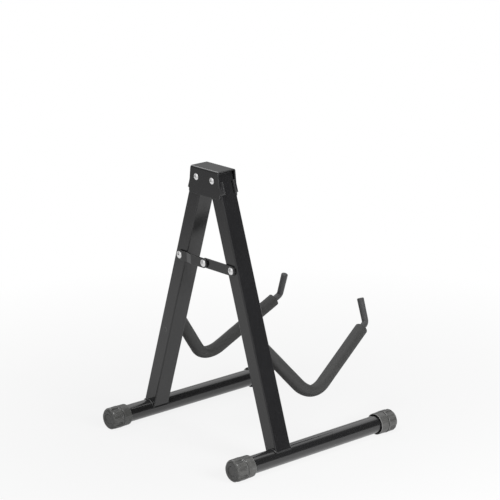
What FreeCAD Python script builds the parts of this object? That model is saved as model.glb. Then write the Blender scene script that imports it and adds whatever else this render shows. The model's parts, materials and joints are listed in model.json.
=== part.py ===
import FreeCAD, Part
import math
import os

# Folding A-frame stand: two box-tube legs hang from a pressed bracket, stand on round foot tubes
# with rubber caps, carry foam-covered cradle arms and are held open by a riveted pair of links.
# Millimetres, +Z up, +Y to the front where the arms point, origin on the floor in the middle.

os.makedirs("parts", exist_ok=True)

# Stance
pivot_height = 349.5        # floor to leg pivots
pivot_spacing = 30.0        # between the two leg pivots
foot_spacing = 246.0        # between the foot tube axes, opened
foot_behind = 79.5          # leg plane to the back of the rear caps
foot_ahead = 194.5          # leg plane to the front of the front caps

# Leg tube
leg_width = 20.0
leg_depth = 25.0
leg_wall = 1.2
leg_corner = 1.6            # outer corner radius of the tube
leg_above_pivot = 6.5

# Foot tube and caps
foot_diameter = 23.0
foot_wall = 1.2
cap_diameter = 29.2         # over the lobes
collar_diameter = 28.0      # at the open mouth
cap_length = 29.0
cap_end_wall = 4.0
cap_collar = 12.5           # length of the smooth collar
cap_groove = 0.9            # depth of the groove between collar and lobes
cap_dome = 5.0              # radius of the rounded end
cap_rim = 1.2               # wall left round the open mouth
mouth_chamfer = 0.5
cap_mouth_depth = 5.0       # how far the mouth stands clear of the tube
cap_disc = 13.0             # diameter of the sunk disc on the end
cap_disc_depth = 0.9
cap_lobes = 8
flute_radius = 3.6
flute_depth = 1.5
cap_flat = 0.4              # how far the cap is worn flat where it stands
weld_radius = 1.5
weld_offset = 0.5           # bead centre beyond the leg's face and the tube

# Bracket
sheet = 1.6
bracket_side_gap = 0.4      # leg face to bracket flange
bracket_above_pivot = 13.1
bracket_below_pivot = 22.0
bracket_top_width = 52.0
bracket_bottom_width = 60.0
bend_radius = 1.0           # inside radius of the bends
flange_corner = 3.0         # rounded lower corners of the flanges
tab_reach = 5.0             # how far a stop tab reaches along the leg's side
tab_flare = 18.0            # degrees by which it stands open from the leg
tab_start = 4.0             # below the pivot, along the leg
tab_length = 16.0
tab_gap = 0.3               # leg side to stop tab, opened
tab_root = 3.0              # how far the tab's root runs into the flange
pad_width = 44.0
pad_thickness = 2.5
pad_rivet_gap = 0.5         # above the pivot rivets' heads
pad_below_top = 1.4
pad_round = 0.8

# Rivets
pivot_rivet = 5.0           # shank diameters
link_rivet = 5.0
pivot_head = 8.2
link_head = 9.4
middle_tail = 8.0           # set head of the middle rivet, which passes between the folded legs
head_height = 1.9
running_fit = 0.08          # radial clearance of what turns on a rivet
fixed_fit = 0.05            # radial clearance of what is riveted or welded tight
bush_wall = 1.6
tail_diameter = 7.6         # set end of a blind rivet inside the tube
tail_length = 3.0

# Spreader links
link_height = 241.0         # floor to the link rivets, opened
link_width = 12.5
link_thickness = 2.2
link_washer = 0.4
link_gap = 0.4              # between the two links
link_step_start = 15.0      # leg rivet to the step that lifts the left link over the right one
link_step_run = 11.0
link_step_bend = 6.0        # bend radius of the step
washer_diameter = 11.0

# Cradle arms, in the plane of the leg: up along the leg and forward from its axis
arm_root = 123.9            # foot axis to the rod, along the leg
arm_stub = 5.5              # leg face to the first bend's corner
arm_first_reach = 52.0      # first corner forward to the low corner
arm_drop = 67.6             # and down
arm_second_reach = 116.0    # low corner forward to the tip corner
arm_rise = 74.0             # and up
arm_tip_rise = 30.7
arm_rod = 7.0
root_bend = 8.0             # bend radii of the rod's axis
low_bend = 31.0
tip_bend = 7.0
foam_diameter = 17.0
foam_end_round = 1.2
foam_fit = 0.15
foam_leg_gap = 0.3          # leg face to the foam's cut end
foam_weld_gap = 0.3         # round the weld at the rod's root
foam_tip_gap = 6.0          # foam end before the tip bend
tip_diameter = 8.4
tip_fit = 0.1
tip_cover = 2.0             # rubber beyond the end of the rod
tip_round = 1.3
tip_foam_gap = 0.3
arm_weld_width = 2.0
arm_weld_height = 1.8
arm_weld_lip = 0.4          # weld left round the rod at its top

# Worked out from the sizes above
leg_y = (foot_behind - foot_ahead) / 2
foot_x = foot_spacing / 2
foot_z = cap_diameter / 2 - cap_flat
pivot_x = pivot_spacing / 2
lean = math.atan2(foot_x - pivot_x, pivot_height - foot_z)
leg_length = math.hypot(foot_x - pivot_x, pivot_height - foot_z)
foot_radius = foot_diameter / 2
cap_radius = cap_diameter / 2
collar_radius = collar_diameter / 2
leg_face = leg_depth / 2
bracket_inside = leg_face + bracket_side_gap
bracket_outside = bracket_inside + sheet
bracket_top = pivot_height + bracket_above_pivot
link_along = (link_height - foot_z) / math.cos(lean)
link_x = foot_x - link_along * math.sin(lean)
link_back = -leg_face - link_washer
link_front = link_back - link_thickness
over_back = link_front - link_gap
over_front = over_back - link_thickness
vec = FreeCAD.Vector
y_axis = vec(0, 1, 0)
close = 0.01                # points nearer than this are the same


def rod_along_y(x, z, y_from, y_to, radius):
    return Part.makeCylinder(radius, y_to - y_from, vec(x, y_from, z), y_axis)


def box_between(low, high):
    size = high - low
    return Part.makeBox(size.x, size.y, size.z, low)


def prism_along_y(points, y_from, y_to):
    # points are (x, z) corners
    corners = [vec(x, y_from, z) for x, z in points]
    face = Part.Face(Part.makePolygon(corners + corners[:1]))
    return face.extrude(vec(0, y_to - y_from, 0))


def turned_about_y(edges):
    # edges of a closed profile in the x, y plane, turned about the Y axis
    return Part.Face(Part.Wire(edges)).revolve(vec(0, 0, 0), y_axis, 360)


def profile_edges(points):
    corners = [vec(r, y, 0) for r, y in points]
    return [Part.makeLine(a, b) for a, b in zip(corners, corners[1:])]


def edges_along(shape, way):
    # straight edges that run along a direction
    straight = [e for e in shape.Edges if e.Curve.TypeId == "Part::GeomLine"]
    return [e for e in straight if abs(abs(e.Curve.Direction.dot(way)) - 1) < close]


def rims_at(shape, centre):
    # circular edges about a point
    circles = [e for e in shape.Edges if e.Curve.TypeId == "Part::GeomCircle"]
    return [e for e in circles if (e.Curve.Center - centre).Length < close]


def in_leg(shape):
    # from the right leg's own frame, z along the tube from the foot axis, to its place opened
    placed = shape.copy()
    turn = FreeCAD.Rotation(y_axis, -math.degrees(lean))
    placed.Placement = FreeCAD.Placement(vec(foot_x, leg_y, foot_z), turn).multiply(placed.Placement)
    return placed


def in_leg_plane(shape):
    placed = shape.copy()
    placed.translate(vec(0, leg_y, 0))
    return placed


def other_side(shape):
    return shape.mirror(vec(0, 0, 0), vec(1, 0, 0))


def write(name, shape):
    shape = shape.removeSplitter()
    if not shape.isValid():
        raise ValueError(name + " is not a valid solid")
    shape.exportStep("parts/" + name + ".step")
    print("%-22s %8.1f mm3" % (name, shape.Volume))


def write_pair(name, right_shape):
    write("right_" + name, right_shape)
    write("left_" + name, other_side(right_shape))


# Legs and feet, modelled for the right side

def tube_section(inset):
    # the leg's outer box, or its bore when inset by the wall
    half_w = leg_width / 2 - inset
    half_d = leg_face - inset
    box = box_between(vec(-half_w, -half_d, 0), vec(half_w, half_d, leg_length + leg_above_pivot))
    return box.makeFillet(leg_corner - inset, edges_along(box, vec(0, 0, 1)))


def foot_outside():
    return rod_along_y(0, 0, -foot_behind, foot_ahead, foot_radius)


def leg_tube():
    tube = tube_section(0).cut(tube_section(leg_wall)).cut(foot_outside())
    pivot_hole = rod_along_y(0, leg_length, -leg_face, leg_face, pivot_rivet / 2 + running_fit)
    link_hole = rod_along_y(0, link_along, -leg_face, 0, link_rivet / 2 + fixed_fit)
    arm_hole = rod_along_y(0, arm_root, -leg_face, leg_face, arm_rod / 2 + fixed_fit)
    return tube.cut(pivot_hole).cut(link_hole).cut(arm_hole)


def foot_tube():
    start = cap_end_wall - foot_behind
    end = foot_ahead - cap_end_wall
    outside = rod_along_y(0, 0, start, end, foot_radius)
    return outside.cut(rod_along_y(0, 0, start, end, foot_radius - foot_wall))


def foot_weld():
    # a bead all round the foot of the leg, cut back to the leg and the tube that it joins
    side = leg_width / 2 + weld_offset
    reach = foot_radius + weld_offset
    up = math.sqrt(reach ** 2 - side ** 2)
    end = leg_face + weld_offset
    bead = rod_along_y(side, up, -end, end, weld_radius)
    bead = bead.fuse(rod_along_y(-side, up, -end, end, weld_radius))
    spread = math.degrees(math.asin(side / reach))
    for y in (-end, end):
        ring = Part.makeTorus(reach, weld_radius, vec(0, y, 0), y_axis, 0, 360, 2 * spread)
        ring.rotate(vec(0, y, 0), y_axis, -ring_turn(ring))
        bead = bead.fuse(ring)
        for x in (-side, side):
            bead = bead.fuse(Part.makeSphere(weld_radius, vec(x, y, up)))
    return bead.cut(tube_section(0)).cut(foot_outside())


def ring_turn(ring):
    # how far an arc of bead has to turn about Y to stand centred over the tube
    centre = ring.CenterOfMass
    return math.degrees(math.atan2(centre.x, centre.z))


def foot_cap():
    # rear cap about the Y axis, closed end at the back
    end = -foot_behind
    mouth = end + cap_length
    step = mouth - cap_collar
    disc = cap_disc / 2
    dome_mid = cap_radius - cap_dome + cap_dome * math.sin(math.pi / 4)
    dome_back = end + cap_dome - cap_dome * math.cos(math.pi / 4)
    dome = Part.Arc(
        vec(cap_radius - cap_dome, end, 0),
        vec(dome_mid, dome_back, 0),
        vec(cap_radius, end + cap_dome, 0),
    ).toShape()
    collar_end = collar_radius + (cap_radius - collar_radius) * cap_collar / cap_length
    face = profile_edges([
        (0, end + cap_disc_depth),
        (disc, end + cap_disc_depth),
        (disc, end),
        (cap_radius - cap_dome, end),
    ])
    barrel = profile_edges([
        (cap_radius, end + cap_dome),
        (cap_radius, step - cap_groove),
        (collar_end - cap_groove, step),
        (collar_end, step + cap_groove),
        (collar_radius, mouth - mouth_chamfer),
        (collar_radius - mouth_chamfer, mouth),
        (collar_radius - cap_rim, mouth),
        (collar_radius - cap_rim, mouth - cap_mouth_depth),
        (foot_radius + fixed_fit, mouth - cap_mouth_depth),
        (foot_radius + fixed_fit, end + cap_end_wall),
        (0, end + cap_end_wall),
        (0, end + cap_disc_depth),
    ])
    cap = turned_about_y(face + [dome] + barrel)
    flute_at = cap_radius - flute_depth + flute_radius
    flute_end = step - cap_groove - flute_radius
    for k in range(cap_lobes):
        angle = 2 * math.pi * (k + 0.5) / cap_lobes
        x = flute_at * math.cos(angle - math.pi / 2)
        z = flute_at * math.sin(angle - math.pi / 2)
        cap = cap.cut(rod_along_y(x, z, end - cap_dome, flute_end, flute_radius))
        cap = cap.cut(Part.makeSphere(flute_radius, vec(x, flute_end, z)))
    low = vec(-cap_radius, end, -cap_radius)
    high = vec(cap_radius, mouth, -foot_z)
    return cap.cut(box_between(low, high))


def write_feet():
    at_foot = vec(foot_x, leg_y, foot_z)
    rear = foot_cap()
    ahead = foot_ahead - foot_behind
    front = rear.mirror(vec(0, ahead / 2, 0), y_axis)
    tube = foot_tube()
    for shape in (rear, front, tube):
        shape.translate(at_foot)
    write_pair("foot_tube", tube)
    write_pair("rear_foot_cap", rear)
    write_pair("front_foot_cap", front)


# Cradle arms, in the leg's frame: the rod's axis lies in the plane x = 0

def arm_corners():
    first = vec(0, leg_face + arm_stub, arm_root)
    low = first + vec(0, arm_first_reach, -arm_drop)
    tip = low + vec(0, arm_second_reach, arm_rise)
    end = tip + vec(0, 0, arm_tip_rise)
    return first, low, tip, end


def bend(before, corner, after, radius):
    # the arc that rounds a corner, and where it leaves the two runs
    way_in = (before - corner).normalize()
    way_out = (after - corner).normalize()
    half = math.acos(way_in.dot(way_out)) / 2
    reach = radius / math.tan(half)
    start = corner + way_in * reach
    finish = corner + way_out * reach
    middle = (way_in + way_out).normalize()
    top = corner + middle * (radius / math.sin(half) - radius)
    return start, top, finish


def round_path(points):
    # points alternate straight ends and, in threes, arcs: (a, b) is a line, (a, m, b) an arc
    edges = []
    for run in points:
        if len(run) == 2:
            edges.append(Part.makeLine(run[0], run[1]))
        else:
            edges.append(Part.Arc(run[0], run[1], run[2]).toShape())
    return Part.Wire(edges)


def round_bar(runs, radius):
    start = runs[0][0]
    ahead = (runs[0][1] - start).normalize()
    section = Part.Wire(Part.makeCircle(radius, start, ahead))
    return round_path(runs).makePipeShell([section], True, False)


def rod_runs():
    first, low, tip, end = arm_corners()
    back = vec(0, -leg_face, arm_root)
    a = bend(back, first, low, root_bend)
    b = bend(first, low, tip, low_bend)
    c = bend(low, tip, end, tip_bend)
    return [(back, a[0]), a, (a[2], b[0]), b, (b[2], c[0]), c, (c[2], end)]


def arm_rod_bar():
    return round_bar(rod_runs(), arm_rod / 2)


def foam_runs():
    # past the root bend the sleeve keeps straight on, until all of its end lies behind the leg's face
    runs = rod_runs()
    down, low, up = runs[2], runs[3], runs[4]
    along = (down[1] - down[0]).normalize()
    start_y = leg_face + foam_leg_gap - foam_diameter / 2 * abs(along.z)
    start = down[0] + along * ((start_y - down[0].y) / along.y)
    finish = up[1] - (up[1] - up[0]).normalize() * foam_tip_gap
    return [(start, down[1]), low, (up[0], finish)]


def arm_foam():
    # cut off along the leg's face, bored for the rod and hollowed over the weld at its root
    runs = foam_runs()
    start = runs[0][0]
    sleeve = round_bar(runs, foam_diameter / 2)
    sleeve = sleeve.makeFillet(foam_end_round, rims_at(sleeve, runs[-1][1]))
    low = vec(-foam_diameter, start.y - foam_diameter, 0)
    high = vec(foam_diameter, leg_face + foam_leg_gap, start.z + foam_diameter)
    sleeve = sleeve.cut(box_between(low, high))
    hollow_end = leg_face + arm_weld_height + foam_weld_gap
    hollow_radius = arm_rod / 2 + arm_weld_width + foam_weld_gap
    sleeve = sleeve.cut(rod_along_y(0, arm_root, leg_face, hollow_end, hollow_radius))
    return sleeve.cut(round_bar(rod_runs(), arm_rod / 2 + foam_fit))


def arm_tip():
    runs = rod_runs()
    up, corner, upright = runs[4], runs[5], runs[6]
    along = (up[1] - up[0]).normalize()
    start = up[1] - along * (foam_tip_gap - tip_foam_gap)
    top = upright[1] + vec(0, 0, tip_cover)
    sleeve = round_bar([(start, up[1]), corner, (upright[0], top)], tip_diameter / 2)
    sleeve = sleeve.makeFillet(tip_round, rims_at(sleeve, top))
    return sleeve.cut(round_bar(runs, arm_rod / 2 + tip_fit))


def arm_weld():
    inner = arm_rod / 2
    foot = vec(0, leg_face, arm_root)
    ring = Part.makeCone(inner + arm_weld_width, inner + arm_weld_lip, arm_weld_height, foot, y_axis)
    return ring.cut(round_bar(rod_runs(), inner))


# Bracket, modelled about the leg plane

def bracket_outline():
    # both flanges as one block along Y, with rounded lower corners
    bottom = pivot_height - bracket_below_pivot
    right = [(bracket_top_width / 2, bracket_top), (bracket_bottom_width / 2, bottom)]
    left = [(-x, z) for x, z in reversed(right)]
    block = prism_along_y(right + left, -bracket_outside, bracket_outside)
    lower = [e for e in edges_along(block, y_axis) if e.CenterOfMass.z < bottom + close]
    return block.makeFillet(flange_corner, lower)


def folded_channel():
    # sheet bent over the top of the legs, as long as the widest part of the flanges
    bottom = pivot_height - bracket_below_pivot
    half = max(bracket_top_width, bracket_bottom_width) / 2
    outside = box_between(vec(-half, -bracket_outside, bottom), vec(half, bracket_outside, bracket_top))
    under = bracket_top - sheet
    inside = box_between(vec(-half, -bracket_inside, bottom), vec(half, bracket_inside, under))
    outside = outside.makeFillet(bend_radius + sheet, top_edges(outside))
    inside = inside.makeFillet(bend_radius, top_edges(inside))
    return outside.cut(inside)


def top_edges(box):
    top = max(v.Z for v in box.Vertexes)
    return [e for e in edges_along(box, vec(1, 0, 0)) if e.CenterOfMass.z > top - close]


def stop_tab():
    # near-side tab in the right leg's frame: folded from the flange along the leg's outer side
    side = leg_width / 2 + tab_gap
    front = -bracket_outside
    inner = front + sheet
    root = side - tab_root
    flare = math.radians(tab_flare)
    ahead = vec(math.sin(flare), math.cos(flare), 0)
    across = vec(math.cos(flare), -math.sin(flare), 0) * sheet
    at_bend = vec(side, inner, 0)
    tab_end = at_bend + ahead * tab_reach
    fold = at_bend + across + ahead * (sheet * (math.sin(flare) - 1) / math.cos(flare))
    corners = [tab_end + across, fold, vec(root, front, 0), vec(root, inner, 0), at_bend, tab_end]
    low = vec(0, 0, leg_length - tab_start - tab_length)
    points = [low + corner for corner in corners]
    tab = Part.Face(Part.makePolygon(points + points[:1])).extrude(vec(0, 0, tab_length))
    upright = edges_along(tab, vec(0, 0, 1))
    outside = [e for e in upright if math.hypot(e.CenterOfMass.x - fold.x, e.CenterOfMass.y - fold.y) < close]
    return tab.makeFillet(sheet, outside)


def top_bracket():
    body = folded_channel().common(bracket_outline())
    body = in_leg_plane(body)
    for edge_tab in (stop_tab(), stop_tab().mirror(vec(0, 0, 0), y_axis)):
        placed = in_leg(edge_tab)
        body = body.fuse(placed).fuse(other_side(placed))
    for x in (-pivot_x, pivot_x):
        hole = rod_along_y(x, pivot_height, -bracket_outside, bracket_outside, pivot_rivet / 2 + fixed_fit)
        body = body.cut(in_leg_plane(hole))
    return body


def back_rest_pad():
    top = bracket_top - sheet - pad_below_top
    bottom = pivot_height + pivot_head / 2 + pad_rivet_gap
    low = vec(-pad_width / 2, bracket_outside, bottom)
    high = vec(pad_width / 2, bracket_outside + pad_thickness, top)
    pad = box_between(low, high)
    outer = [e for e in pad.Edges if e.CenterOfMass.y > high.y - close]
    return in_leg_plane(pad.makeFillet(pad_round, outer))


# Rivets, along Y with the shank from y_from to y_to

def dome(x, z, y, diameter, outward):
    # a rivet head standing on the plane y
    rim = diameter / 2
    ball = (rim ** 2 + head_height ** 2) / (2 * head_height)
    sphere = Part.makeSphere(ball, vec(x, y - outward * (ball - head_height), z))
    top = y + outward * head_height
    return sphere.common(rod_along_y(x, z, min(y, top), max(y, top), rim))


def pivot_rivet_shape():
    bar = rod_along_y(pivot_x, pivot_height, -bracket_outside, bracket_outside, pivot_rivet / 2)
    for outward in (-1, 1):
        bar = bar.fuse(dome(pivot_x, pivot_height, outward * bracket_outside, pivot_head, outward))
    return in_leg_plane(bar)


def pivot_bush():
    half = leg_face - leg_wall
    bore = pivot_rivet / 2 + running_fit
    outside = rod_along_y(0, leg_length, -half, half, bore + bush_wall)
    return outside.cut(rod_along_y(0, leg_length, -half, half, bore))


def link_rivet_shape():
    # blind rivet through a link and the near wall of its leg, in the right leg's frame
    front = link_front - running_fit
    back = leg_wall - leg_face
    bar = rod_along_y(0, link_along, front, back, link_rivet / 2)
    bar = bar.fuse(dome(0, link_along, front, link_head, -1))
    return bar.fuse(rod_along_y(0, link_along, back, back + tail_length, tail_diameter / 2))


def link_seat():
    # the washer between a link and its leg, in the right leg's frame
    start = link_back + running_fit
    ring = rod_along_y(0, link_along, start, -leg_face, washer_diameter / 2)
    return ring.cut(rod_along_y(0, link_along, start, -leg_face, link_rivet / 2 + fixed_fit))


# Spreader links

def link_outline():
    # round-ended outline as a block along Y, from the middle to the leg rivet
    half = link_width / 2
    block = box_between(vec(0, over_front, link_height - half), vec(link_x, link_back, link_height + half))
    for x in (0, link_x):
        block = block.fuse(rod_along_y(x, link_height, over_front, link_back, half))
    return block


def brace_link(middle_front):
    # flat strip on the leg; where its front at the middle lies ahead of that, a step joins the two
    half = link_width / 2
    outer_end = link_x + half
    step_from = link_x - link_step_start
    step_to = step_from - link_step_run
    front = [(outer_end, link_front), (step_from, link_front), (step_to, middle_front), (-half, middle_front)]
    back = [(x, y + link_thickness) for x, y in reversed(front)]
    points = [vec(x, y, link_height - half) for x, y in front + back]
    strip = Part.Face(Part.makePolygon(points + points[:1])).extrude(vec(0, 0, link_width)).removeSplitter()
    inside = [e for e in edges_along(strip, vec(0, 0, 1)) if -half < e.CenterOfMass.x < outer_end]
    bends = [e for e in inside if min(abs(e.CenterOfMass.x - x) for x in (step_from, step_to)) < close]
    if bends:
        strip = strip.makeFillet(link_step_bend, bends)
    strip = strip.common(link_outline())
    leg_hole = rod_along_y(link_x, link_height, over_front, link_back, link_rivet / 2 + running_fit)
    middle_hole = rod_along_y(0, link_height, over_front, link_back, link_rivet / 2 + fixed_fit)
    return in_leg_plane(strip.cut(leg_hole).cut(middle_hole))


def centre_rivet_head():
    bar = rod_along_y(0, link_height, over_front, over_back, link_rivet / 2)
    return in_leg_plane(bar.fuse(dome(0, link_height, over_front, link_head, -1)))


def centre_rivet_tail():
    bar = rod_along_y(0, link_height, link_front, link_back, link_rivet / 2)
    return in_leg_plane(bar.fuse(dome(0, link_height, link_back, middle_tail, 1)))


write("top_bracket", top_bracket())
write("back_rest_pad", back_rest_pad())
write_pair("pivot_rivet", pivot_rivet_shape())
write_pair("leg_tube", in_leg(leg_tube()))
write_pair("pivot_bush", in_leg(pivot_bush()))
write_feet()
write_pair("foot_weld", in_leg(foot_weld()))
write_pair("arm_rod", in_leg(arm_rod_bar()))
write_pair("arm_foam", in_leg(arm_foam()))
write_pair("arm_tip", in_leg(arm_tip()))
write_pair("arm_weld", in_leg(arm_weld()))
write_pair("link_rivet", in_leg(link_rivet_shape()))
write_pair("link_washer", in_leg(link_seat()))
write("right_brace_link", brace_link(link_front))
write("left_brace_link", other_side(brace_link(over_front)))
write("centre_rivet_head", centre_rivet_head())
write("centre_rivet_tail", centre_rivet_tail())
print("leg leans %.2f degrees, links are %.2f long" % (math.degrees(lean), link_x))
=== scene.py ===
import json
import math

import bmesh
import bpy
from mathutils import Matrix, Vector, noise

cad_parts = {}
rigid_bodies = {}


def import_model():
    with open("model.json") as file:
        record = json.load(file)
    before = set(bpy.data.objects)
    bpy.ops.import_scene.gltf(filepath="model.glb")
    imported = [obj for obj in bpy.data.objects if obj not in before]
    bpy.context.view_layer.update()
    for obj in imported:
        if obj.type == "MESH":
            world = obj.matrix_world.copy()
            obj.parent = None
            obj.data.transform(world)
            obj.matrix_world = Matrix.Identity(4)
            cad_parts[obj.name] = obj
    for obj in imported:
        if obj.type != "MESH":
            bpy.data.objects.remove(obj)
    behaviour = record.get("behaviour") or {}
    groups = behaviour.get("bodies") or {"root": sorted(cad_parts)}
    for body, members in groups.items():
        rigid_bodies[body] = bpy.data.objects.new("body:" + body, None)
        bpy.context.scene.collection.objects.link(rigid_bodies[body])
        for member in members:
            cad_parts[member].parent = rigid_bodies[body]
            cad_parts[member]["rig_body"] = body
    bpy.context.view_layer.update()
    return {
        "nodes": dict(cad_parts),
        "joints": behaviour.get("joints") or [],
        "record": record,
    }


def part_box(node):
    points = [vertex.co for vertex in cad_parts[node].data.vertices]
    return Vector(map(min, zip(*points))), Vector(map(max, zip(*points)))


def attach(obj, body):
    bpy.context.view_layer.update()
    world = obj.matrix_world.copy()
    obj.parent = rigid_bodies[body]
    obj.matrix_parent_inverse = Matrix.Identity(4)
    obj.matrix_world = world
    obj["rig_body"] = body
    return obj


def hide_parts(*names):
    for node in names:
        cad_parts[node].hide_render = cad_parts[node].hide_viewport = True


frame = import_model()
nodes = frame["nodes"]
joints = {joint["name"]: joint for joint in frame["joints"]}
slotOf = {row["node"]: row["material_slot"] for row in frame["record"]["subparts"]}
sides = {"left": -1, "right": 1}
mm = 0.001

# the stance, read from the frame
pivot = Vector(joints["right_leg_fold"]["pos_m"])
footLow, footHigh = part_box("right_foot_tube")
footAxis = (footLow + footHigh) / 2
footRadius = (footHigh.x - footLow.x) / 2
lean = math.atan2(footAxis.x - pivot.x, pivot.z - footAxis.z)
legLow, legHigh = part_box("right_leg_tube")
legFace = (legHigh.y - legLow.y) / 2        # from the leg plane to the tube's front face


def legPoint(sign, x, y, z):
    # a leg's own frame: x outward, y forward of the leg plane, z up along the tube from the foot axis
    across = footAxis.x + x * math.cos(lean) - z * math.sin(lean)
    up = footAxis.z + x * math.sin(lean) + z * math.cos(lean)
    return Vector((sign * across, pivot.y + y, up))


def legWay(sign, x, y, z):
    # a direction in that frame
    return legPoint(sign, x, y, z) - legPoint(sign, 0, 0, 0)


# camera, at the photograph's viewing angle

cameraView = {
    "azimuth": 48.868,
    "elevation": 16.122,
    "roll": -0.386,
    "distance": 2.7733,
    "lens": 157.84,
    "sensor": 36,
    "farthest": 50,
    "aimHeight": 0.184,
    "aimRight": 0.045615,       # the aim is moved this far in the picture
    "aimUp": 0.067778,
}


def makeCamera(view):
    turn = math.radians(view["azimuth"])
    rise = math.radians(view["elevation"])
    roll = math.radians(view["roll"])
    ahead = Vector((-math.sin(turn) * math.cos(rise), math.cos(turn) * math.cos(rise), -math.sin(rise)))
    right = Vector((math.cos(turn), math.sin(turn), 0))
    up = right.cross(ahead)
    aim = Vector((0, pivot.y, view["aimHeight"])) + right * view["aimRight"] + up * view["aimUp"]
    rolledRight = right * math.cos(roll) + up * math.sin(roll)
    rolledUp = up * math.cos(roll) - right * math.sin(roll)
    lens = bpy.data.cameras.new("photo camera")
    lens.lens = view["lens"]
    lens.sensor_width = view["sensor"]
    lens.clip_end = view["farthest"]
    camera = bpy.data.objects.new("photo camera", lens)
    camera.location = aim - ahead * view["distance"]
    camera.rotation_euler = Matrix((rolledRight, rolledUp, -ahead)).transposed().to_euler()
    bpy.context.scene.collection.objects.link(camera)
    bpy.context.scene.camera = camera


makeCamera(cameraView)
print("camera: at", cameraView["distance"], "m")

# small tools for node trees

mixSockets = {"under": 6, "over": 7, "result": 2}       # where a Mix node keeps its colours
black = (0, 0, 0)


def feed(tree, value, socket):
    if isinstance(value, bpy.types.NodeSocket):
        tree.links.new(value, socket)
    else:
        socket.default_value = value


def put(tree, kind, inputs=None, **settings):
    node = tree.nodes.new(kind)
    for name, value in settings.items():
        setattr(node, name, value)
    for name, value in (inputs or {}).items():
        feed(tree, value, node.inputs[name])
    return node


def place(tree, group, inputs):
    return put(tree, "ShaderNodeGroup", inputs, node_tree=group).outputs


def maths(tree, operation, a, b):
    return put(tree, "ShaderNodeMath", {0: a, 1: b}, operation=operation).outputs[0]


def spread(tree, value, low, high, newLow, newHigh):
    names = ("Value", "From Min", "From Max", "To Min", "To Max")
    inputs = dict(zip(names, (value, low, high, newLow, newHigh)))
    return put(tree, "ShaderNodeMapRange", inputs).outputs[0]


def mixed(tree, mask, under, over):
    # each colour is a socket, or red, green and blue
    node = put(tree, "ShaderNodeMix", {"Factor": mask}, data_type="RGBA")
    for name, colour in (("under", under), ("over", over)):
        linked = isinstance(colour, bpy.types.NodeSocket)
        feed(tree, colour if linked else (*colour, 1), node.inputs[mixSockets[name]])
    return node.outputs[mixSockets["result"]]


def onSurface(tree):
    return put(tree, "ShaderNodeTexCoord").outputs["Object"]


def surfaceNoise(tree, scale, detail, roughness=0.5, stretch=None):
    spot = onSurface(tree)
    if stretch:
        spot = put(tree, "ShaderNodeMapping", {"Vector": spot, "Scale": stretch}).outputs[0]
    inputs = {"Vector": spot, "Scale": scale, "Detail": detail, "Roughness": roughness}
    return put(tree, "ShaderNodeTexNoise", inputs).outputs[0]


def newGroup(name, inputs, outputs):
    tree = bpy.data.node_groups.new(name, "ShaderNodeTree")
    for direction, labels in (("INPUT", inputs), ("OUTPUT", outputs)):
        for label in labels:
            tree.interface.new_socket(label, in_out=direction, socket_type="NodeSocketFloat")
    return tree, tree.nodes.new("NodeGroupInput").outputs, tree.nodes.new("NodeGroupOutput").inputs


# shared effects

skinInputs = {                      # the skins' inputs, and the entries of a look that go into them
    "Relief Scale": "relief",
    "Cloud Scale": "cloud",
    "Roughness": "roughness",
    "Unevenness": "uneven",
}
paintSkinForm = {"reliefDetail": 2.0, "cloudDetail": 4.0, "cloudRoughness": 0.6}        # enamel, metal
mouldedSkinForm = {"reliefDetail": 2.0, "cloudDetail": 5.0, "cloudRoughness": 0.65}     # rubber, foam


def makeSkin(name, form):
    # fine relief, and broad clouds that shift the tone and the dullness
    tree, given, out = newGroup(name, skinInputs, ("Tone", "Roughness", "Height"))
    relief = surfaceNoise(tree, given["Relief Scale"], form["reliefDetail"])
    cloud = surfaceNoise(tree, given["Cloud Scale"], form["cloudDetail"], form["cloudRoughness"])
    shift = maths(tree, "MULTIPLY", maths(tree, "SUBTRACT", cloud, 0.5), given["Unevenness"])
    feed(tree, cloud, out["Tone"])
    feed(tree, maths(tree, "ADD", given["Roughness"], shift), out["Roughness"])
    feed(tree, relief, out["Height"])
    return tree


rubMarkForm = {
    "streakDetail": 6.0,
    "streakRoughness": 0.7,
    "stretch": (9.0, 9.0, 0.7),     # streaks are thin across and long upward
    "crest": (0.66, 0.74),          # only the crests of the pattern show
    "clusterScale": 22.0,
    "clusterDetail": 3.0,
    "cluster": (0.52, 0.66),        # and only in some places
}


def makeRubMarks(form):
    # thin scratches where the stand is handled, as a mask
    tree, given, out = newGroup("rubMarks", ("Scale", "Amount"), ("Mask",))
    detail = (form["streakDetail"], form["streakRoughness"])
    streak = surfaceNoise(tree, given["Scale"], *detail, stretch=form["stretch"])
    cluster = surfaceNoise(tree, form["clusterScale"], form["clusterDetail"])
    thin = spread(tree, streak, *form["crest"], 0.0, 1.0)
    handled = spread(tree, cluster, *form["cluster"], 0.0, 1.0)
    marks = maths(tree, "MULTIPLY", thin, handled)
    feed(tree, maths(tree, "MULTIPLY", marks, given["Amount"]), out["Mask"])
    return tree


# painted shade in grooves and corners, and outward edges lightened partly as wear and partly as a painted
# highlight
paintedShadeAndEdgeForm = {
    "samples": 12,
    "shut": (0.5, 0.97),            # painted shade: a hollow is darkened up to the first openness, left unshaded from the second
    "thin": (0.6, 0.93),            # an outward edge is lightened, partly as wear and partly as a painted highlight, up to the first, untouched from the second
}


def openness(tree, reach, form, inside=False):
    # 1 where the piece has nothing near in front of its surface, or behind it for inside
    settings = {"samples": form["samples"], "only_local": True, "inside": inside}
    return put(tree, "ShaderNodeAmbientOcclusion", {"Distance": reach}, **settings).outputs["AO"]


def makeHollowShade(form):
    # painted shade: dark in grooves and corners, where shade falls, 1 on open faces
    tree, given, out = newGroup("hollowShade", ("Reach", "Depth"), ("Open",))
    paintedShade = spread(tree, openness(tree, given["Reach"], form), *form["shut"], 1.0, 0.0)
    feed(tree, maths(tree, "SUBTRACT", 1.0, maths(tree, "MULTIPLY", paintedShade, given["Depth"])), out["Open"])
    return tree


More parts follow.
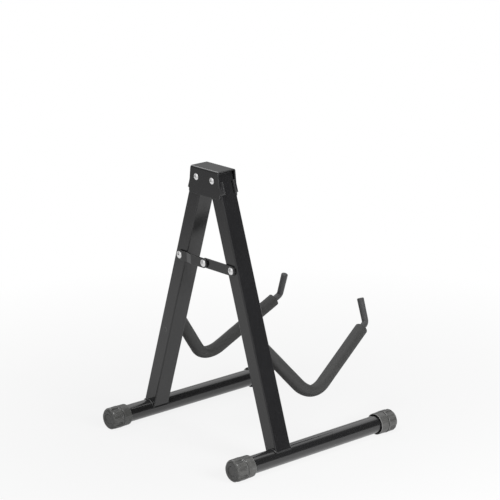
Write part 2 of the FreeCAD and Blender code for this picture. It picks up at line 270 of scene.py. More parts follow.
def makeEdgeWearAndGlint(form):
    # a mask of outward edges, lightened partly as wear where the surface rubs against things and partly as
    # a painted highlight
    tree, given, out = newGroup("rubbedEdges", ("Reach", "Amount"), ("Mask",))
    edge = spread(tree, openness(tree, given["Reach"], form, inside=True), *form["thin"], 1.0, 0.0)
    feed(tree, maths(tree, "MULTIPLY", edge, given["Amount"]), out["Mask"])
    return tree


paintSkin = makeSkin("paintSkin", paintSkinForm)
mouldedSkin = makeSkin("mouldedSkin", mouldedSkinForm)
rubMarks = makeRubMarks(rubMarkForm)
hollowShade = makeHollowShade(paintedShadeAndEdgeForm)
rubbedEdges = makeEdgeWearAndGlint(paintedShadeAndEdgeForm)
print("shared effects:", len(bpy.data.node_groups))

# finishes: a look gives its skin's values, the two tones it clouds between and how deep its relief is


def newMaterial(name):
    material = bpy.data.materials.new(name)
    material.use_nodes = True
    tree = material.node_tree
    return material, tree, tree.nodes["Principled BSDF"]


def startFinish(name, group, look):
    material, tree, shader = newMaterial(name)
    skin = place(tree, group, {label: look[key] for label, key in skinInputs.items() if key in look})
    feed(tree, skin["Roughness"], shader.inputs["Roughness"])
    return material, skin, mixed(tree, skin["Tone"], look["dark"], look["light"])


def endFinish(material, look, colour, height, plain):
    # plain holds what is the same all over and is set on the shader's own sockets
    tree = material.node_tree
    shader = tree.nodes["Principled BSDF"]
    inputs = {"Height": height, "Strength": look["bump"], "Distance": look["bumpHeight"]}
    feed(tree, put(tree, "ShaderNodeBump", inputs).outputs[0], shader.inputs["Normal"])
    feed(tree, colour, shader.inputs["Base Color"])
    for name, value in plain.items():
        shader.inputs[name].default_value = value
    return material


# the share of a finish's colour left where painted shade darkens grooves and corners
def hollowShadeShare(tree, look):
    return place(tree, hollowShade, {"Reach": look["reach"], "Depth": look["depth"]})["Open"]


framePaintLook = {
    "dark": (0.0105, 0.0105, 0.0112),
    "light": (0.0165, 0.0165, 0.0175),
    "roughness": 0.13,
    "uneven": 0.08,
    "relief": 850.0,
    "cloud": 35.0,
    "bump": 0.1,
    "bumpHeight": 0.2 * mm,
    "coat": 0.3,
    "worn": (0.05, 0.05, 0.052),
    "wornScale": 60.0,
    "wornAmount": 0.35,
    # edges are lightened towards this colour, partly as wear and partly as a painted highlight
    "edge": (0.11, 0.11, 0.113),
    "edgeReach": 0.8 * mm,
    "edgeAmount": 0.8,
    "edgeTone": (0.4, 0.6),         # edges are lightened, as wear and as a painted highlight, where the clouds are pale
    "edgeLeast": 0.1,
}


def makeFramePaint(look):
    material, skin, colour = startFinish("framePaint", paintSkin, look)
    tree = material.node_tree
    marks = place(tree, rubMarks, {"Scale": look["wornScale"], "Amount": look["wornAmount"]})["Mask"]
    colour = mixed(tree, marks, colour, look["worn"])
    # outward edges lightened, partly as wear and partly as a painted highlight
    wearAndGlintMask = place(tree, rubbedEdges, {"Reach": look["edgeReach"], "Amount": look["edgeAmount"]})["Mask"]
    pale = spread(tree, skin["Tone"], *look["edgeTone"], look["edgeLeast"], 1.0)
    colour = mixed(tree, maths(tree, "MULTIPLY", wearAndGlintMask, pale), colour, look["edge"])
    plain = {"Coat Weight": look["coat"], "Coat Roughness": look["roughness"]}
    return endFinish(material, look, colour, skin["Height"], plain)


footPaintLook = {
    "dark": (0.009, 0.009, 0.0095),
    "light": (0.014, 0.014, 0.0145),
    "roughness": 0.2,
    "uneven": 0.06,
    "relief": 420.0,
    "cloud": 35.0,
    "bump": 0.06,
    "bumpHeight": 0.2 * mm,
    "coat": 1.0,
}


def makeFootPaint(look):
    material, skin, colour = startFinish("footPaint", paintSkin, look)
    plain = {"Coat Weight": look["coat"], "Coat Roughness": look["roughness"]}
    return endFinish(material, look, colour, skin["Height"], plain)


capRubberLook = {
    "dark": (0.04, 0.04, 0.0385),
    "light": (0.135, 0.135, 0.131),
    "roughness": 0.25,
    "uneven": 0.15,
    "relief": 2500.0,
    "cloud": 90.0,
    "bump": 0.1,
    "bumpHeight": 0.2 * mm,
    "gloss": 0.5,
    # painted shade in the flutes, the groove and the mouth: how far it reaches and how deep
    "reach": 12.0 * mm,
    "depth": 1.0,
    # lips are lightened towards this colour, partly as wear and partly as a painted highlight
    "rubbed": (0.34, 0.34, 0.335),
    "rubReach": 1.1 * mm,
    "rubAmount": 0.9,
    "floorShade": (2.0 * mm, 8.0 * mm),  # painted shadow where the cap meets the floor: dark below the first height, unshaded above the second
    "floorShadeLeast": 0.3,
}
tipVinylLook = {
    "dark": (0.044, 0.044, 0.045),
    "light": (0.066, 0.066, 0.067),
    "roughness": 0.45,
    "uneven": 0.15,
    "relief": 2500.0,
    "cloud": 90.0,
    "bump": 0.08,
    "bumpHeight": 0.2 * mm,
    "gloss": 0.4,
    # painted shade in grooves and corners
    "reach": 2.0 * mm,
    "depth": 0.5,
}
padRubberLook = {
    "dark": (0.02, 0.02, 0.02),
    "light": (0.035, 0.035, 0.035),
    "roughness": 0.7,
    "uneven": 0.15,
    "relief": 2500.0,
    "cloud": 90.0,
    "bump": 0.2,
    "bumpHeight": 0.2 * mm,
    "gloss": 0.4,
    # painted shade in grooves and corners
    "reach": 2.0 * mm,
    "depth": 0.5,
}


def makeMoulded(name, look):
    material, skin, colour = startFinish(name, mouldedSkin, look)
    tree = material.node_tree
    # painted shade in grooves and corners
    unshaded = hollowShadeShare(tree, look)
    if "rubbed" in look:
        # outward lips lightened, partly as wear and partly as a painted highlight
        wearAndGlintMask = place(tree, rubbedEdges, {"Reach": look["rubReach"], "Amount": look["rubAmount"]})["Mask"]
        colour = mixed(tree, wearAndGlintMask, colour, look["rubbed"])
    # painted shadow towards the bottom, where the cap meets the floor
    if "floorShade" in look:
        height = put(tree, "ShaderNodeSeparateXYZ", {0: onSurface(tree)}).outputs["Z"]
        aboveFloorShade = spread(tree, height, *look["floorShade"], look["floorShadeLeast"], 1.0)
        unshaded = maths(tree, "MULTIPLY", unshaded, aboveFloorShade)
    # the painted shade darkens the colour towards black
    colour = mixed(tree, unshaded, black, colour)
    return endFinish(material, look, colour, skin["Height"], {"Specular IOR Level": look["gloss"]})


foamLook = {
    "dark": (0.029, 0.029, 0.029),
    "light": (0.047, 0.047, 0.046),
    "roughness": 0.6,
    "uneven": 0.15,
    "cloud": 60.0,
    "bump": 0.3,
    "bumpHeight": 0.4 * mm,
    "cellScale": 1100.0,
}


def makeFoam(look):
    # cut cells show as fine pits, in place of the skin's own relief
    material, skin, colour = startFinish("sleeveFoam", mouldedSkin, look)
    tree = material.node_tree
    inputs = {"Vector": onSurface(tree), "Scale": look["cellScale"]}
    cells = put(tree, "ShaderNodeTexVoronoi", inputs).outputs["Distance"]
    return endFinish(material, look, colour, cells, {})


rivetLook = {
    "dark": (0.85, 0.85, 0.85),
    "light": (0.97, 0.97, 0.97),
    "roughness": 0.3,
    "uneven": 0.08,
    "relief": 1600.0,
    "cloud": 400.0,
    "bump": 0.08,
    "bumpHeight": 0.1 * mm,
    # painted shade in the head's dimple
    "reach": 1.5 * mm,
    "depth": 0.9,
}
steelLook = {
    "dark": (0.42, 0.42, 0.43),
    "light": (0.58, 0.58, 0.59),
    "roughness": 0.38,
    "uneven": 0.08,
    "relief": 1600.0,
    "cloud": 400.0,
    "bump": 0.08,
    "bumpHeight": 0.1 * mm,
    # painted shade in grooves and corners
    "reach": 1.0 * mm,
    "depth": 0.5,
}


def makeMetal(name, look):
    material, skin, colour = startFinish(name, paintSkin, look)
    tree = material.node_tree
    # painted shade in grooves and corners, such as a rivet's dimple, darkens the colour towards black
    colour = mixed(tree, hollowShadeShare(tree, look), black, colour)
    return endFinish(material, look, colour, skin["Height"], {"Metallic": 1.0})


finishes = {
    "frame_paint": makeFramePaint(framePaintLook),
    "foot_paint": makeFootPaint(footPaintLook),
    "cap_rubber": makeMoulded("capRubber", capRubberLook),
    "tip_rubber": makeMoulded("tipVinyl", tipVinylLook),
    "pad_rubber": makeMoulded("padRubber", padRubberLook),
    "sleeve_foam": makeFoam(foamLook),
    "rivet_metal": makeMetal("rivetMetal", rivetLook),
    "plain_steel": makeMetal("plainSteel", steelLook),
}
for node, slot in slotOf.items():
    nodes[node].data.materials.clear()
    nodes[node].data.materials.append(finishes[slot])
print("finishes:", len(finishes))

# tools for shapes

lineForm = {"cornerSteps": 4, "slack": 0.01}    # fewest steps in a corner, part of a step that is let go
axisRadius = 0.001 * mm                         # a ring that is narrower than this is one point


def roundAngles(count):
    return [2 * math.pi * k / count for k in range(count)]


def roundedLine(corners, spacing):
    # a line through (a, b, radius) corners, each rounded by an arc; gives points with their directions
    points = []
    places = [Vector(corner[:2]) for corner in corners]
    last = places[0]
    for k in range(1, len(corners)):
        here = places[k]
        radius = corners[k][2]
        wayIn = (here - places[k - 1]).normalized()
        reach = 0.0
        turn = 0.0
        if k < len(corners) - 1 and radius > 0:
            wayOut = (places[k + 1] - here).normalized()
            turn = math.atan2(wayIn.x * wayOut.y - wayIn.y * wayOut.x, wayIn.dot(wayOut))
            reach = radius * math.tan(abs(turn) / 2)
        stop = here - wayIn * reach
        steps = max(1, math.ceil((stop - last).length / spacing - lineForm["slack"]))
        points += [(last.lerp(stop, n / steps), wayIn) for n in range(steps)]
        if reach:
            points += roundedCorner(stop, wayIn, turn, radius, spacing)
            stop = here + wayOut * reach
        last = stop
    return points + [(last, wayIn)]


def roundedCorner(start, way, turn, radius, spacing):
    # the arc of a corner, without its last point
    steps = max(lineForm["cornerSteps"], math.ceil(radius * abs(turn) / spacing))
    inward = Vector((-way.y, way.x)) * math.copysign(1, turn)
    centre = start + inward * radius
    points = []
    for n in range(steps):
        swept = Matrix.Rotation(turn * n / steps, 2)
        points.append((centre - swept @ inward * radius, swept @ way))
    return points


def turnedRing(x, y, z, radii):
    # a ring about an axis along y, or one point of that axis
    if max(radii) < axisRadius:
        return [Vector((x, y, z))]
    angles = roundAngles(len(radii))
    return [Vector((x + r * math.cos(a), y, z + r * math.sin(a))) for r, a in zip(radii, angles)]


def skinned(rings, loop=False):
    # rings of points joined by quads into one skin; a ring of one point closes an end
    shape = bmesh.new()
    rows = [[shape.verts.new(point) for point in ring] for ring in rings]
    following = rows[1:] + rows[:1] if loop else rows[1:]
    for near, far in zip(rows, following):
        count = max(len(near), len(far))
        for k in range(count):
            pair = [k, (k + 1) % count]
            corners = [near[n % len(near)] for n in pair] + [far[n % len(far)] for n in reversed(pair)]
            shape.faces.new(list(dict.fromkeys(corners)))
    bmesh.ops.recalc_face_normals(shape, faces=shape.faces)
    return shape


def standIn(shape, name, node, sharpAngle=None):
    # a finished shape shown in place of a node, on the same body and in the same finish
    mesh = bpy.data.meshes.new(name)
    shape.to_mesh(mesh)
    shape.free()
    mesh.shade_smooth()
    if sharpAngle:
        mesh.set_sharp_from_angle(angle=math.radians(sharpAngle))
    mesh.materials.append(finishes[slotOf[node]])
    piece = bpy.data.objects.new(name, mesh)
    bpy.context.scene.collection.objects.link(piece)
    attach(piece, nodes[node]["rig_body"])
    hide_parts(node)
    return piece


# rubber foot caps: fluted barrel, smooth collar, hollow mouth

capForm = {
    "lobes": 8,
    "stepsPerLobe": 20,
    "spacing": 0.9 * mm,
    "collar": 12.5 * mm,
    "collarRadius": 14.0 * mm,
    "groove": 0.9 * mm,
    "dome": 5.0 * mm,
    "rim": 1.2 * mm,
    "mouthDepth": 5.0 * mm,
    "endWall": 4.0 * mm,
    "discRadius": 6.5 * mm,
    "discDepth": 1.2 * mm,
    "fluteRadius": 3.6 * mm,
    "fluteDepth": 1.9 * mm,
    "softEdge": 0.5 * mm,
    "tightEdge": 0.3 * mm,
    "blend": 0.4 * mm,          # how softly a flute runs into the barrel
    "sharpAngle": 50,
}


def capProfile(form, radius, length):
    # (radius, distance from the end) from the middle of the disc, round the outside and into the bore
    step = length - form["collar"]
    soft = form["softEdge"]
    tight = form["tightEdge"]
    disc = form["discRadius"]
    collar = form["collarRadius"]
    collarEnd = collar + (radius - collar) * form["collar"] / length
    inner = collar - form["rim"]
    return roundedLine([
        (0, form["discDepth"], 0),
        (disc, form["discDepth"], tight),
        (disc + form["discDepth"], 0, soft),
        (radius, 0, form["dome"]),
        (radius, step - form["groove"], soft),
        (collarEnd - form["groove"], step, tight),
        (collarEnd, step + form["groove"], soft),
        (collar, length, soft),
        (inner, length, tight),
        (inner, length - form["mouthDepth"], soft),
        (footRadius, length - form["mouthDepth"], 0),
        (footRadius, form["endWall"], 0),
        (0, form["endWall"], 0),
    ], form["spacing"])


def flutedRadius(form, radius, base, along, runOut, angle):
    # the barrel's radius where the flutes cut in, with softened lips
    spacing = 2 * math.pi / form["lobes"]
    off = (angle / spacing - math.floor(angle / spacing) - 0.5) * spacing
    wide = form["fluteRadius"] ** 2 - max(0.0, along - runOut) ** 2
    centre = radius - form["fluteDepth"] + form["fluteRadius"]
    inside = wide - (centre * math.sin(off)) ** 2
    if wide <= 0 or inside <= 0 or along > runOut + form["fluteRadius"]:
        return base
    flute = centre * math.cos(off) - math.sqrt(inside)
    mix = min(1.0, max(0.0, 0.5 + 0.5 * (flute - base) / form["blend"]))
    return flute * (1 - mix) + base * mix - form["blend"] * mix * (1 - mix)


def makeCap(side, end, form):
    node = "%s_%s_foot_cap" % (side, end)
    low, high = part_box(node)
    radius = (high.x - low.x) / 2
    length = high.y - low.y
    runOut = length - form["collar"] - form["groove"] - form["fluteRadius"]
    angles = roundAngles(form["lobes"] * form["stepsPerLobe"])
    rings = []
    for (base, along), _ in capProfile(form, radius, length):
        y = low.y + along if end == "rear" else high.y - along
        radii = [flutedRadius(form, radius, base, along, runOut, angle) for angle in angles]
        ring = turnedRing((low.x + high.x) / 2, y, footAxis.z, radii)
        for point in ring:
            point.z = max(0.0, point.z)     # the flat that rests on the floor
        rings.append(ring)
    standIn(skinned(rings), "%s_%s_cap" % (side, end), node, form["sharpAngle"])


for side in sides:
    for end in ("rear", "front"):
        makeCap(side, end, capForm)
print("caps: 4")

# cradle arms: foam sleeves with a crease inside the bend, and turned-up ends in thin vinyl

armForm = {
    "first": (18.0 * mm, 123.9 * mm),       # corners of the rod's axis: forward of the leg, up along it
    "low": (70.0 * mm, 56.3 * mm),
    "tip": (186.0 * mm, 130.3 * mm),
    "top": (186.0 * mm, 163.0 * mm),
    "lowBend": 31.0 * mm,
    "tipBend": 7.0 * mm,
    "rodRadius": 3.5 * mm,
}
foamForm = {
    "radius": 8.5 * mm,
    "bore": 3.65 * mm,
    "legGap": 0.3 * mm,
    "tipGap": 6.0 * mm,
    "rootRun": 6.0 * mm,        # from the rod's first corner to where the slanted end is over
    "rootRows": 14,
    "rootRound": 0.7 * mm,
    "rootMouth": 7.4 * mm,      # the bore opens to this over the rod's bend
    "mouthRows": 4,
    "endRound": 1.6 * mm,
    "lipShares": (0.85, 0.6, 0.35, 0.15, 0.0),      # rows of a rounded lip, in shares of its depth
    "crease": 2.6 * mm,
    "creasePower": 1.7,         # higher keeps the crease to the middle of the bend
    "creaseNarrow": 3,          # higher keeps it to the inside of the bend
    "spacing": 1.2 * mm,
    "around": 64,
    "waver": 0.12 * mm,
    "waverRows": 6,             # it grows over this many rows
    "waverScale": 1.3,
    "waverPace": 0.07,
    "waverApart": 9,            # so that the two sleeves differ
    "fill": 0.95,
    "sharpAngle": 60,
}
tipForm = {
    "radius": 4.2 * mm,
    "flare": 0.35 * mm,         # how much thicker the sleeve is at its top
    "bore": 3.6 * mm,
    "foamGap": 0.3 * mm,
    "endRound": 1.3 * mm,
    "lipShares": (1.0, 0.75, 0.5, 0.3, 0.15, 0.05, 0.0),
    "endWall": 1.9 * mm,
    "crease": 0.5 * mm,
    "creasePower": 1.5,
    "creaseNarrow": 3,
    "spacing": 0.8 * mm,
    "around": 40,
    "sharpAngle": 60,
}


def towards(start, end, distance):
    start, end = Vector(start), Vector(end)
    return start + (end - start).normalized() * distance


def foamEnd(arm, foam):
    # how far from the tip's corner the foam ends, short of where the bend begins
    corner = Vector(arm["tip"])
    wayIn = (Vector(arm["low"]) - corner).normalized()
    wayOut = (Vector(arm["top"]) - corner).normalized()
    return arm["tipBend"] / math.tan(wayIn.angle(wayOut) / 2) + foam["tipGap"]


def armRing(sign, centre, way, radii):
    # a ring about the arm's axis, from its upper side round; radii go with the points
    upper = Vector((-way.y, way.x))
    ring = []
    for radius, angle in zip(radii, roundAngles(len(radii))):
        spot = centre + upper * (radius * math.cos(angle))
        ring.append(legPoint(sign, radius * math.sin(angle), spot.x, spot.y))
    return ring


def creased(radii, form, way, firstWay, lastWay):
    # radii with the crease inside a bend, deepest half way round it
    bent = min(1.0, max(0.0, firstWay.angle(way, 0.0) / firstWay.angle(lastWay)))
    depth = form["crease"] * (1 - abs(2 * bent - 1)) ** form["creasePower"]
    inner = [max(0.0, math.cos(angle)) ** form["creaseNarrow"] for angle in roundAngles(len(radii))]
    return [radius - depth * share for radius, share in zip(radii, inner)]


def lipInset(radius, share):
    # how far a rounded lip draws in, at a share of its depth from the face
    return radius * (1 - math.sqrt(1 - (1 - share) ** 2))


def roundedEnd(rows, radii, form):
    # the last rows give way to a rounded lip
    centre, way, _ = rows[-1]
    deep = form["endRound"]
    lip = []
    for share in form["lipShares"]:
        inset = lipInset(deep, share)
        lip.append((centre - way * deep * share, way, [radius - inset for radius in radii]))
    return rows[:-math.ceil(deep / form["spacing"]) - 1] + lip


def rootRings(sign, first, way, form, layers):
    # the slanted end along the leg's face; a layer is a radius, a distance past the cut, a share of the run
    upper = Vector((-way.y, way.x))
    rings = []
    for radius, past, share in layers:
        ring = []
        for angle in roundAngles(form["around"]):
            spot = first + upper * (radius * math.cos(angle))
            cut = (legFace + form["legGap"] - spot.x) / way.x + past
            spot += way * (cut + (form["rootRun"] - cut) * share)
            ring.append(legPoint(sign, radius * math.sin(angle), spot.x, spot.y))
        rings.append(ring)
    return rings


def rootOutside(form):
    # the slanted end's rounded lip, then its run to the first full row
    radius = form["radius"]
    lip = form["rootRound"]
    layers = [(radius - lipInset(lip, share), lip * share, 0.0) for share in reversed(form["lipShares"])]
    return layers + [(radius, lip, n / form["rootRows"]) for n in range(form["rootRows"])]


def rootInside(form):
    # the bore that opens over the rod's bend
    shares = [1 - (n + 1) / form["mouthRows"] for n in range(form["mouthRows"])]
    return [(form["bore"] * share + form["rootMouth"] * (1 - share), 0.0, share) for share in shares]


def foamOutside(sign, line, form):
    rows = []
    for n, (centre, way) in enumerate(line):
        waver = form["waver"] * min(1.0, n / form["waverRows"])
        along = n * form["waverPace"] + sign * form["waverApart"]
        radii = []
        for angle in roundAngles(form["around"]):
            spot = Vector((math.cos(angle), math.sin(angle), along)) * form["waverScale"]
            radii.append(form["radius"] + waver * noise.noise(spot))
        rows.append((centre, way, creased(radii, form, way, line[0][1], line[-1][1])))
    return rows


def makeFoamSleeve(side, sign, arm, form):
    first = Vector(arm["first"])
    start = towards(first, arm["low"], form["rootRun"])
    stop = towards(arm["tip"], arm["low"], foamEnd(arm, form))
    line = roundedLine([(*start, 0), (*arm["low"], arm["lowBend"]), (*stop, 0)], form["spacing"])
    outside = foamOutside(sign, line, form)
    bore = [(centre, way, [form["bore"]] * form["around"]) for centre, way in reversed(line)]
    firstWay = line[0][1]
    rings = rootRings(sign, first, firstWay, form, rootOutside(form))
    rings += [armRing(sign, *row) for row in roundedEnd(outside, outside[-1][2], form) + bore]
    rings += rootRings(sign, first, firstWay, form, rootInside(form))
    sleeve = standIn(skinned(rings, loop=True), side + "_sleeve", side + "_arm_foam", form["sharpAngle"])


def makeArmTip(side, sign, arm, foam, form):
    start = towards(arm["tip"], arm["low"], foamEnd(arm, foam) - form["foamGap"])
    line = roundedLine([(*start, 0), (*arm["tip"], arm["tipBend"]), (*arm["top"], 0)], form["spacing"])
    count = form["around"]
    outside = []
    for n, (centre, way) in enumerate(line):
        radii = [form["radius"] + form["flare"] * n / len(line)] * count
        outside.append((centre, way, creased(radii, form, way, line[0][1], line[-1][1])))
    outside = roundedEnd(outside, [form["radius"] + form["flare"]] * count, form)
    bore = [(centre, way, [form["bore"]] * count) for centre, way in reversed(line)]
    bore = bore[math.ceil(form["endWall"] / form["spacing"]):]
    rings = [[legPoint(sign, 0, *bore[0][0])]]
    rings += [armRing(sign, *row) for row in bore + outside]
    rings.append([legPoint(sign, 0, *line[-1][0])])
    standIn(skinned(rings), side + "_tip", side + "_arm_tip", form["sharpAngle"])


for side, sign in sides.items():
    makeFoamSleeve(side, sign, armForm, foamForm)
    makeArmTip(side, sign, armForm, foamForm, tipForm)
print("arms: 2 sleeves, 2 tips")

# rivets, turned about their axes, with the small hole that setting leaves in the head

rivetForm = {
    "shankRadius": 2.5 * mm,
    "headHeight": 1.9 * mm,
    "headSteps": 9,
    "rim": 0.35 * mm,
    "dimple": 1.2 * mm,
    "dimpleDepth": 0.9 * mm,
    "dimpleFloor": 0.6,             # share of the dimple's radius that is flat
    "dimpleWall": (0.85, 0.5),      # a point of its wall, as shares of its radius and its depth
    "around": 40,
    "sharpAngle": 40,
}


def crownHeight(form, radius, r):
    # the domed top of a head over its seat
    rise = form["headHeight"] - form["rim"]
    ball = (radius ** 2 + rise ** 2) / (2 * rise)
    return math.sqrt(ball ** 2 - r ** 2) - (ball - form["headHeight"]) if r < radius else form["rim"]


def headProfile(form, radius, dimpled):
    # from the middle of the head out to its rim and under it, as (radius, distance outward from the seat)
    points = []
    first = 0.0
    if dimpled:
        first = form["dimple"]
        lip = crownHeight(form, radius, first)
        bottom = lip - form["dimpleDepth"]
        wallRadius, wallDepth = form["dimpleWall"]
        points = [(0, bottom), (first * form["dimpleFloor"], bottom)]
        points.append((first * wallRadius, lip - form["dimpleDepth"] * wallDepth))
    for n in range(form["headSteps"] + 1):
        r = first + (radius - first) * n / form["headSteps"]
        points.append((r, crownHeight(form, radius, r)))
    return points + [(radius, 0.0)]


def turnRivet(name, node, form, nearHead, farHead):
    # an end has a head or is cut straight; only a near head has the dimple
    low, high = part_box(node)
    radius = (high.z - low.z) / 2
    shank = form["shankRadius"]
    if nearHead:
        seat = low.y + form["headHeight"]
        profile = [(r, seat - out) for r, out in headProfile(form, radius, True)]
        profile.append((shank, seat))
    else:
        profile = [(0, low.y), (shank, low.y)]
    if farHead:
        seat = high.y - form["headHeight"]
        profile.append((shank, seat))
        profile += [(r, seat + out) for r, out in reversed(headProfile(form, radius, False))]
    else:
        profile += [(shank, high.y), (0, high.y)]
    x = (low.x + high.x) / 2
    z = (low.z + high.z) / 2
    rings = [turnedRing(x, y, z, [r] * form["around"]) for r, y in profile]
    standIn(skinned(rings), name, node, form["sharpAngle"])


for side in sides:
    turnRivet(side + "_pivot", side + "_pivot_rivet", rivetForm, nearHead=True, farHead=True)
    turnRivet(side + "_rivet", side + "_link_rivet", rivetForm, nearHead=True, farHead=False)
turnRivet("middle_rivet", "centre_rivet_head", rivetForm, nearHead=True, farHead=False)
turnRivet("middle_rivet_back", "centre_rivet_tail", rivetForm, nearHead=False, farHead=True)
print("rivets: 6")

# pressed bracket and links, with the edges of the sheet softened

pressedForm = {
    "bracketEdge": 0.3 * mm,
    "linkEdge": 0.25 * mm,
    "segments": 2,
    "roundness": 0.5,
    "sharpest": 30,             # edges that turn by more degrees than this are softened
    "flat": 0.5,                # faces that turn by fewer degrees than this become one
    "merge": 0.001 * mm,
}


def softened(node, width, form):
    shape = bmesh.new()
    shape.from_mesh(nodes[node].data)
    bmesh.ops.remove_doubles(shape, verts=shape.verts, dist=form["merge"])
    flat = math.radians(form["flat"])
    bmesh.ops.dissolve_limit(shape, angle_limit=flat, verts=shape.verts, edges=shape.edges)
    limit = math.radians(form["sharpest"])
    sharp = [edge for edge in shape.edges if edge.is_manifold and edge.calc_face_angle() > limit]
    rounding = {"segments": form["segments"], "profile": form["roundness"], "clamp_overlap": True}
    bmesh.ops.bevel(shape, geom=sharp, offset=width, affect="EDGES", **rounding)
    return shape


def makePressed(name, node, width, form):
    piece = standIn(softened(node, width, form), name, node)
    piece.modifiers.new("even shading", "WEIGHTED_NORMAL").keep_sharp = True


makePressed("bracket", "top_bracket", pressedForm["bracketEdge"], pressedForm)
for side in sides:
    makePressed(side + "_link", side + "_brace_link", pressedForm["linkEdge"], pressedForm)
print("pressings: bracket and 2 links")

# rubber strip on the front of the bracket

padForm = {
    "corner": 1.5 * mm,
    "cornerSteps": 12,
    "edge": 0.9 * mm,
    "edgeSteps": 4,
    "crown": 0.35 * mm,
    "faceShares": (0.9, 0.75, 0.55, 0.35, 0.15),    # rings of the crowned face, from its rim to its middle
    "fill": 0.9,
    "sharpAngle": 50,
}


def padOutline(low, high, inset, form):
    # a rounded rectangle in the plane of the flange
    corner = form["corner"]
    right, left = high.x - corner, low.x + corner
    upper, lower = high.z - corner, low.z + corner
    ring = []
    for quarter, (x, z) in enumerate(((right, upper), (left, upper), (left, lower), (right, lower))):
        for k in range(form["cornerSteps"] + 1):
            angle = math.radians(90 * quarter + 90 * k / form["cornerSteps"])
            ring.append((x + (corner - inset) * math.cos(angle), z + (corner - inset) * math.sin(angle)))
    return ring


def makePad(form):
    low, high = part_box("back_rest_pad")
    middle = (low + high) / 2
    depth = high.y - low.y
    layers = [(0.0, 0.0)]
    for k in range(form["edgeSteps"] + 1):
        turn = math.radians(90 * k / form["edgeSteps"])
        inset = form["edge"] * (1 - math.cos(turn))
        layers.append((inset, depth - form["crown"] - form["edge"] * (1 - math.sin(turn))))
    rings = [[Vector((middle.x, low.y, middle.z))]]
    for inset, rise in layers:
        rings.append([Vector((x, low.y + rise, z)) for x, z in padOutline(low, high, inset, form)])
    face = rings[-1]
    for share in form["faceShares"]:
        rise = depth - form["crown"] * share ** 2
        spots = [middle.lerp(point, share) for point in face]
        rings.append([Vector((spot.x, low.y + rise, spot.z)) for spot in spots])
    rings.append([Vector((middle.x, high.y, middle.z))])
    pad = standIn(skinned(rings), "rest_strip", "back_rest_pad", form["sharpAngle"])


makePad(padForm)
print("rest strip: 1")

# weld beads, laid in overlapping ripples

weldForm = {
    "legHalf": (10.0 * mm, legFace),
    "legCorner": 1.6 * mm,
    "offset": 0.5 * mm,         # bead centre beyond the leg's face and the tube
    "footBead": 1.1 * mm,
    "armBead": 1.5 * mm,
    "pitch": 1.7 * mm,
    "ripple": 0.2 * mm,
    "spacing": 0.3 * mm,
    "around": 16,
}


def layBead(name, node, spots, radius, form):
    # spots are (centre, outward) round a closed line; the bead swells and falls away as it was laid
    count = len(spots)
    length = sum((spots[n][0] - spots[n - 1][0]).length for n in range(count))
    ripples = max(1, round(length / form["pitch"]))
    angles = roundAngles(form["around"])
    rings = []
    for n, (centre, outward) in enumerate(spots):
        along = (spots[(n + 1) % count][0] - spots[n - 1][0]).normalized()
        outward = (outward - along * outward.dot(along)).normalized()
        across = along.cross(outward)
        phase = ripples * n / count % 1.0
        reach = radius - form["ripple"] * math.sqrt(phase)
        rings.append([centre + (outward * math.cos(a) + across * math.sin(a)) * reach for a in angles])
    standIn(skinned(rings, loop=True), name, node)


def makeFootWeld(side, sign, form):
    halfX, halfY = (half + form["offset"] for half in form["legHalf"])
    corner = form["legCorner"] + form["offset"]
    reach = footRadius + form["offset"]
    turns = [(halfX, -halfY), (halfX, halfY), (-halfX, halfY), (-halfX, -halfY)]
    corners = [(0, -halfY, 0)] + [(x, y, corner) for x, y in turns] + [(0, -halfY, 0)]
    spots = []
    for flat, way in roundedLine(corners, form["spacing"])[:-1]:
        lift = math.sqrt(reach ** 2 - flat.x ** 2)
        outward = legWay(sign, way.y, -way.x, 0) + legWay(sign, flat.x / reach, 0, lift / reach)
        spots.append((legPoint(sign, flat.x, flat.y, lift), outward))
    layBead(side + "_foot_bead", side + "_foot_weld", spots, form["footBead"], form)


def makeArmWeld(side, sign, arm, form):
    ring = arm["rodRadius"] + form["offset"]
    ahead = form["legHalf"][1] + form["offset"] / 2
    spots = []
    for angle in roundAngles(round(2 * math.pi * ring / form["spacing"])):
        x, z = math.cos(angle), math.sin(angle)
        centre = legPoint(sign, ring * x, ahead, arm["first"][1] + ring * z)
        spots.append((centre, legWay(sign, x, 1, z)))
    layBead(side + "_arm_bead", side + "_arm_weld", spots, form["armBead"], form)


for side, sign in sides.items():
    makeFootWeld(side, sign, weldForm)
    makeArmWeld(side, sign, armForm, weldForm)
print("welds: 4 beads")

# pale floor: plain white away from the stand, mixed with lit paper near it, which keeps the shadow

floorForm = {
    "size": 12.0,
    "colour": (0.62, 0.62, 0.62),
    "clear": (0.2, 0.75),       # metres from the middle over which the white grows to all of it
    "seenShare": 0.86,          # share of white at the feet
    "mirroredShare": 0.5,       # the same in reflections
    "fade": (0.35, 1.25),       # metres over which the white grows dim in reflections
    "fadeLevel": 0.45,
}


def seenDirectly(tree, path):
    # 1 for what the camera sees, through glass too
    return maths(tree, "MAXIMUM", path["Is Camera Ray"], path["Is Transmission Ray"])


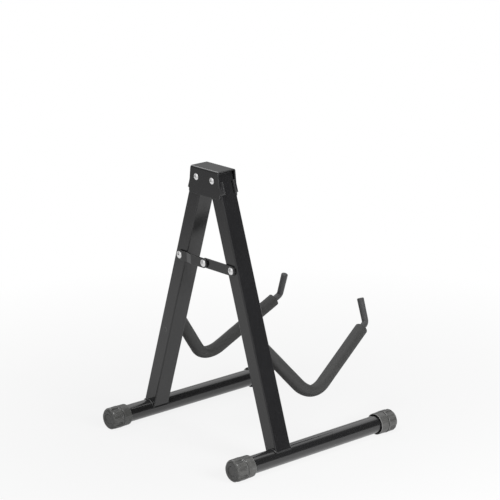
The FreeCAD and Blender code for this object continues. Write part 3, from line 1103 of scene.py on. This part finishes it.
def makeFloor(form):
    half = form["size"] / 2
    mesh = bpy.data.meshes.new("floor")
    corners = [(-half, -half, 0), (half, -half, 0), (half, half, 0), (-half, half, 0)]
    mesh.from_pydata(corners, [], [(0, 1, 2, 3)])
    floor = bpy.data.objects.new("floor", mesh)
    bpy.context.scene.collection.objects.link(floor)
    material, tree, shader = newMaterial("floorPaper")
    shader.inputs["Base Color"].default_value = (*form["colour"], 1)
    shader.inputs["Roughness"].default_value = 1.0
    shader.inputs["Specular IOR Level"].default_value = 0.0
    spot = put(tree, "ShaderNodeNewGeometry").outputs["Position"]
    away = put(tree, "ShaderNodeVectorMath", {0: spot}, operation="LENGTH").outputs["Value"]
    path = put(tree, "ShaderNodeLightPath").outputs
    direct = seenDirectly(tree, path)
    seen = spread(tree, away, *form["clear"], form["seenShare"], 1.0)
    seen = maths(tree, "MULTIPLY", direct, seen)
    mirrored = spread(tree, away, *form["clear"], form["mirroredShare"], 1.0)
    mirrored = maths(tree, "MULTIPLY", path["Is Glossy Ray"], mirrored)
    strength = spread(tree, away, *form["fade"], 1.0, form["fadeLevel"])
    strength = maths(tree, "MAXIMUM", strength, direct)
    white = put(tree, "ShaderNodeEmission", {"Color": (1, 1, 1, 1), "Strength": strength})
    share = maths(tree, "MAXIMUM", seen, mirrored)
    mix = put(tree, "ShaderNodeMixShader", {0: share, 1: shader.outputs[0], 2: white.outputs[0]})
    feed(tree, mix.outputs[0], tree.nodes["Material Output"].inputs["Surface"])
    mesh.materials.append(material)


# white surroundings, apart from the dim parts of the room that dark paint mirrors

roomForm = {
    "ambient": 0.08,            # their light on dull surfaces
    "shades": [                 # a direction, the cosines that its soft edge lies between, how dim it is
        {"towards": (0.66, 0.632, 0.405), "edge": (0.74, 0.86), "level": 0.07},
        {"towards": (-0.723, 0.632, 0.278), "edge": (0.93, 0.99), "level": 0.35},
        {"towards": (-0.74, -0.65, 0.1), "edge": (0.8, 0.97), "level": 0.25},
        {"towards": (0.723, -0.632, 0.278), "edge": (0.8, 0.97), "level": 0.4},
    ],
}


def makeRoom(form):
    world = bpy.data.worlds.new("studio")
    world.use_nodes = True
    bpy.context.scene.world = world
    tree = world.node_tree
    back = tree.nodes["Background"]
    back.inputs["Color"].default_value = (1, 1, 1, 1)
    path = put(tree, "ShaderNodeLightPath").outputs
    way = put(tree, "ShaderNodeTexCoord").outputs["Generated"]
    glossy = path["Is Glossy Ray"]
    for shade in form["shades"]:
        inputs = {0: way, 1: Vector(shade["towards"]).normalized()}
        facing = put(tree, "ShaderNodeVectorMath", inputs, operation="DOT_PRODUCT").outputs["Value"]
        glossy = maths(tree, "MULTIPLY", glossy, spread(tree, facing, *shade["edge"], 1.0, shade["level"]))
    diffuse = maths(tree, "MULTIPLY", path["Is Diffuse Ray"], form["ambient"])
    strength = maths(tree, "MAXIMUM", maths(tree, "MAXIMUM", glossy, seenDirectly(tree, path)), diffuse)
    feed(tree, strength, back.inputs["Strength"])


# soft square lamps

lampAim = (0, 0, 0.1)
lampForms = {
    "overhead": {"at": (0.5, -1.0, 1.75), "size": 0.5, "watts": 14.0, "mirrored": True},
    "left": {"at": (-1.5, 0.15, 1.4), "size": 0.7, "watts": 4.0, "mirrored": True},
    "right": {"at": (0.9, 0.05, 0.45), "size": 0.4, "watts": 8.5, "mirrored": False},
}


def makeLamp(name, form):
    light = bpy.data.lights.new(name, "AREA")
    light.shape = "SQUARE"
    light.size = form["size"]
    light.energy = form["watts"]
    lamp = bpy.data.objects.new(name, light)
    lamp.location = form["at"]
    lamp.rotation_euler = (Vector(lampAim) - Vector(form["at"])).to_track_quat("-Z", "Y").to_euler()
    lamp.visible_camera = False
    lamp.visible_glossy = form["mirrored"]
    bpy.context.scene.collection.objects.link(lamp)


makeFloor(floorForm)
makeRoom(roomForm)
for lampName, lampForm in lampForms.items():
    makeLamp(lampName, lampForm)
bpy.context.scene.view_settings.view_transform = "Standard"
print("studio: floor, surroundings and", len(lampForms), "lamps")
